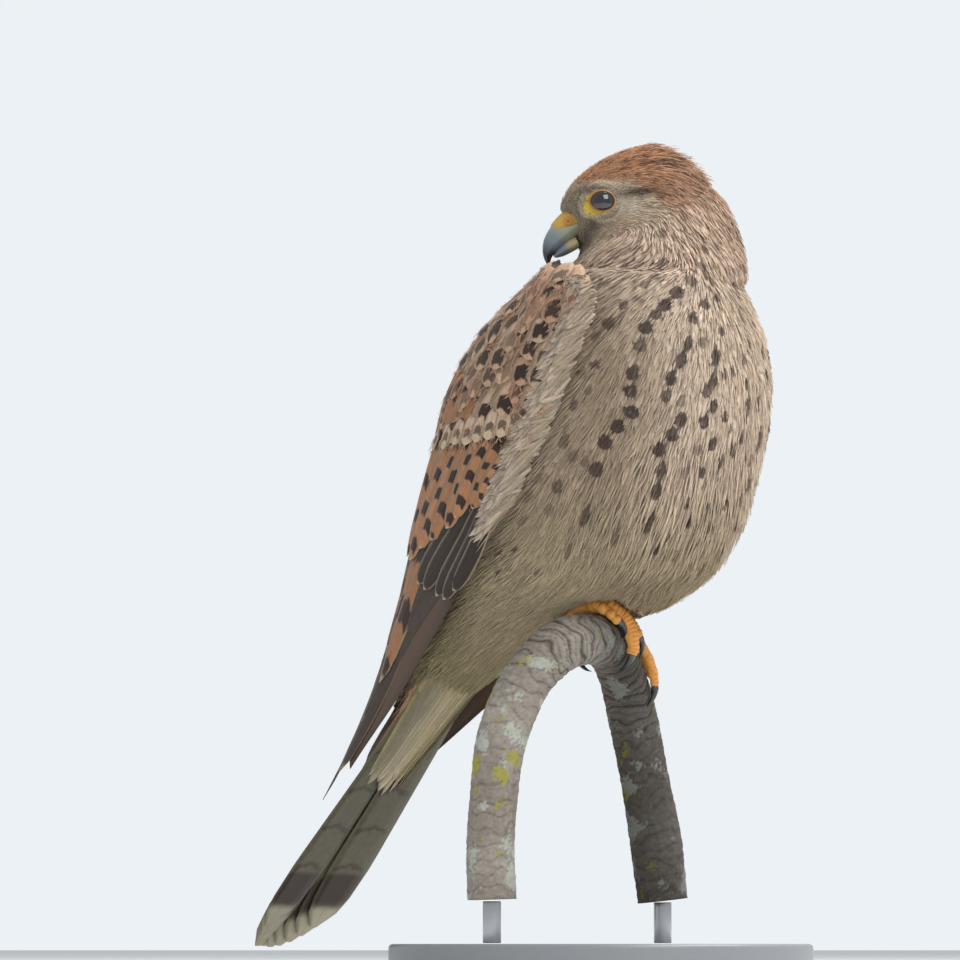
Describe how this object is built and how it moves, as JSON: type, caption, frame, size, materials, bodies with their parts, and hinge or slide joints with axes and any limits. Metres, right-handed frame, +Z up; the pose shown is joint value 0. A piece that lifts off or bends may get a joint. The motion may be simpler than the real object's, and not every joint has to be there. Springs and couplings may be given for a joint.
{
  "type": "common kestrel",
  "caption": "Life-size still model of a common kestrel gripping a short arched branch on a plain round stand, head turned back.",
  "frame": {"origin": "centre of the stand base's underside, on the surface it stands on", "axes": "+Z up; +X to the right and +Y away from the viewer in the picture's view; the bird's body heads 40 degrees from +X towards -Y and its bill points to -X"},
  "size_m": [0.2042, 0.1789, 0.3014],
  "materials": {
    "bark": "weathered bark with lichen",
    "eye": "wet dark brown eye",
    "horn": "blue-grey to black horn",
    "plumage": "soft body feathers",
    "rod": "brushed steel rod",
    "skin": "yellow scaly skin",
    "stand": "satin painted disc",
    "tail_feathers": "barred tail feathers",
    "wing_feathers": "barred flight feathers and coverts"
  },
  "bodies": {
    "root": {"bill_lower": "horn", "bill_upper": "horn", "cere": "skin", "claw_left_1": "horn", "claw_left_2": "horn", "claw_left_3": "horn", "claw_left_4": "horn", "claw_right_1": "horn", "claw_right_2": "horn", "claw_right_3": "horn", "claw_right_4": "horn", "eye_left": "eye", "eye_right": "eye", "head": "plumage", "leg_left": "skin", "leg_right": "skin", "neck": "plumage", "perch_branch": "bark", "stand_base": "stand", "stand_rod_far": "rod", "stand_rod_near": "rod", "tail": "tail_feathers", "torso": "plumage", "wing_left": "wing_feathers", "wing_right": "wing_feathers"}
  },
  "joints": []
}
